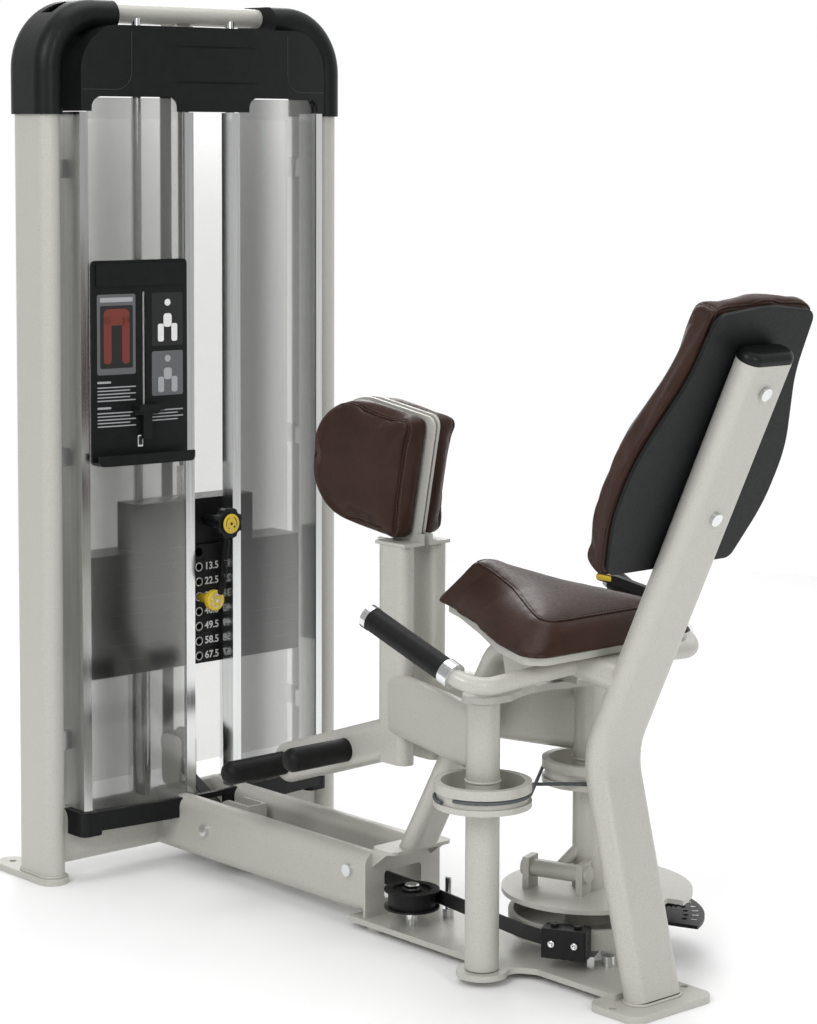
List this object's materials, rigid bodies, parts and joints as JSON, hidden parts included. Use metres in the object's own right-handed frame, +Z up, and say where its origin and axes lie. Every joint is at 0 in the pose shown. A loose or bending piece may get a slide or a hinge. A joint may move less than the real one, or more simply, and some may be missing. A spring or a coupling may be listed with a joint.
{
  "type": "hip adductor machine",
  "caption": "Seated inner-thigh weight machine: padded arms swing together on upright pivots and lift a weight stack by belt and cam.",
  "frame": {"origin": "on the floor, at the middle of the machine's bounding box", "axes": "+Z up, +Y from the seat towards the weight tower (the way the user faces), +X to the seated user's right"},
  "size_m": [0.724, 1.6382, 1.654],
  "materials": {
    "frame_paint": "satin",
    "dark_steel": "satin",
    "chrome": "gloss",
    "steel": "satin",
    "trim": "satin",
    "shield": "satin",
    "black_plastic": "matte",
    "rubber": "matte",
    "vinyl": "satin",
    "yellow": "satin"
  },
  "bodies": {
    "frame": {"uprights": "frame_paint", "foot_plates": "frame_paint", "tower_crossbars": "frame_paint", "base_rails": "frame_paint", "rail_bridge": "frame_paint", "rail_end_box": "frame_paint", "base_plate": "frame_paint", "main_post": "frame_paint", "post_cap": "black_plastic", "seat_frame": "frame_paint", "pivot_top_plate": "frame_paint", "pivot_axles": "steel", "handle_bars": "frame_paint", "handle_grips": "rubber", "grip_rings": "chrome", "back_cushion": "vinyl", "back_board": "black_plastic", "frame_bolts": "chrome", "seat_cushion": "vinyl", "seat_pan": "frame_paint", "shoulder_caps": "black_plastic", "top_fascia": "black_plastic", "shield_trims": "trim", "front_shields": "shield", "bottom_skirt": "black_plastic", "rear_shield": "shield", "guide_rods": "chrome", "resting_plates": "dark_steel", "placard": "black_plastic", "drive_belt": "rubber", "sync_cable": "rubber", "belt_posts": "chrome"},
    "carriage": {"head_plate": "dark_steel", "lifted_plates": "dark_steel", "selector_stem": "steel", "lift_belt": "rubber"},
    "dial": {"add_on_dial": "black_plastic"},
    "pin": {"selector_pin": "yellow", "pin_lanyard": "black_plastic"},
    "idler": {"idler_pulley": "dark_steel"},
    "top_wheel": {"top_pulley": "black_plastic"},
    "low_wheel": {"lower_pulley": "black_plastic"},
    "bridge_wheel": {"bridge_pulley": "black_plastic"},
    "cam": {"drive_cam": "frame_paint", "belt_clamp": "dark_steel", "number_plate": "black_plastic"},
    "plunger": {"range_plunger": "steel"},
    "lever": {"release_lever": "black_plastic"},
    "clamp": {"device_clamp": "black_plastic"},
    "left_arm": {"left_pivot_tube": "frame_paint", "left_arm_beam": "frame_paint", "left_foot_pegs": "rubber", "left_pad_plate": "frame_paint", "left_leg_pad": "vinyl"},
    "right_arm": {"right_pivot_tube": "frame_paint", "right_arm_beam": "frame_paint", "right_foot_pegs": "rubber", "right_pad_plate": "frame_paint", "right_leg_pad": "vinyl", "range_sector": "frame_paint"}
  },
  "joints": [
    {"name": "carriage_slide", "type": "slide", "parent": "frame", "child": "carriage", "axis": [0, 0, 1], "range_m": [0, 0.162], "deforming": ["lift_belt"]},
    {"name": "selector_pin_slide", "type": "slide", "parent": "carriage", "child": "pin", "axis": [0, -1, 0], "range_m": [0, 0.056]},
    {"name": "dial_turn", "type": "hinge", "parent": "carriage", "child": "dial", "pos_m": [0.022, 0.5718, 0.658], "axis": [0, -1, 0], "range_deg": [0, 180]},
    {"name": "cam_spin", "type": "hinge", "parent": "frame", "child": "cam", "pos_m": [0.126, -0.3082, 0.07], "axis": [0, 0, 1], "range_deg": [0, 60]},
    {"name": "top_wheel_spin", "type": "hinge", "parent": "frame", "child": "top_wheel", "pos_m": [0, 0.7057, 1.56], "axis": [-1, 0, 0], "range_deg": [0, 322]},
    {"name": "low_wheel_spin", "type": "hinge", "parent": "frame", "child": "low_wheel", "pos_m": [0, 0.7057, 0.205], "axis": [-1, 0, 0], "range_deg": [0, 322]},
    {"name": "bridge_wheel_spin", "type": "hinge", "parent": "frame", "child": "bridge_wheel", "pos_m": [0, 0.4978, 0.088], "axis": [-1, 0, 0], "range_deg": [0, 520]},
    {"name": "idler_spin", "type": "hinge", "parent": "frame", "child": "idler", "pos_m": [-0.048, -0.0462, 0.07], "axis": [0, 0, -1], "range_deg": [0, 213]},
    {"name": "right_arm_swing", "type": "hinge", "parent": "frame", "child": "right_arm", "pos_m": [0.126, -0.3082, 0.4], "axis": [0, 0, 1], "range_deg": [-50, 0]},
    {"name": "left_arm_swing", "type": "hinge", "parent": "frame", "child": "left_arm", "pos_m": [-0.126, -0.3082, 0.4], "axis": [0, 0, 1], "range_deg": [0, 50]},
    {"name": "plunger_slide", "type": "slide", "parent": "right_arm", "child": "plunger", "axis": [0.6428, -0.766, 0], "range_m": [0, 0.012], "stiffness_N_per_m": 500, "springref_m": -0.01},
    {"name": "lever_lift", "type": "hinge", "parent": "frame", "child": "lever", "pos_m": [0.254, -0.3242, 0.612], "axis": [1, 0, 0], "range_deg": [0, 16], "stiffness_Nm_per_rad": 1.5, "springref_deg": -8.59},
    {"name": "clamp_slide", "type": "slide", "parent": "frame", "child": "clamp", "axis": [0, 0, 1], "range_m": [-0.001, 0.2]}
  ],
  "couplings": [
    {"joint": "cam_spin", "follows": "carriage_slide", "rad_per_m": 6.4516},
    {"joint": "top_wheel_spin", "follows": "carriage_slide", "rad_per_m": 34.6},
    {"joint": "low_wheel_spin", "follows": "carriage_slide", "rad_per_m": 34.6},
    {"joint": "bridge_wheel_spin", "follows": "carriage_slide", "rad_per_m": 55.87},
    {"joint": "idler_spin", "follows": "carriage_slide", "rad_per_m": 22.78},
    {"joint": "left_arm_swing", "follows": "right_arm_swing", "ratio": -1}
  ]
}
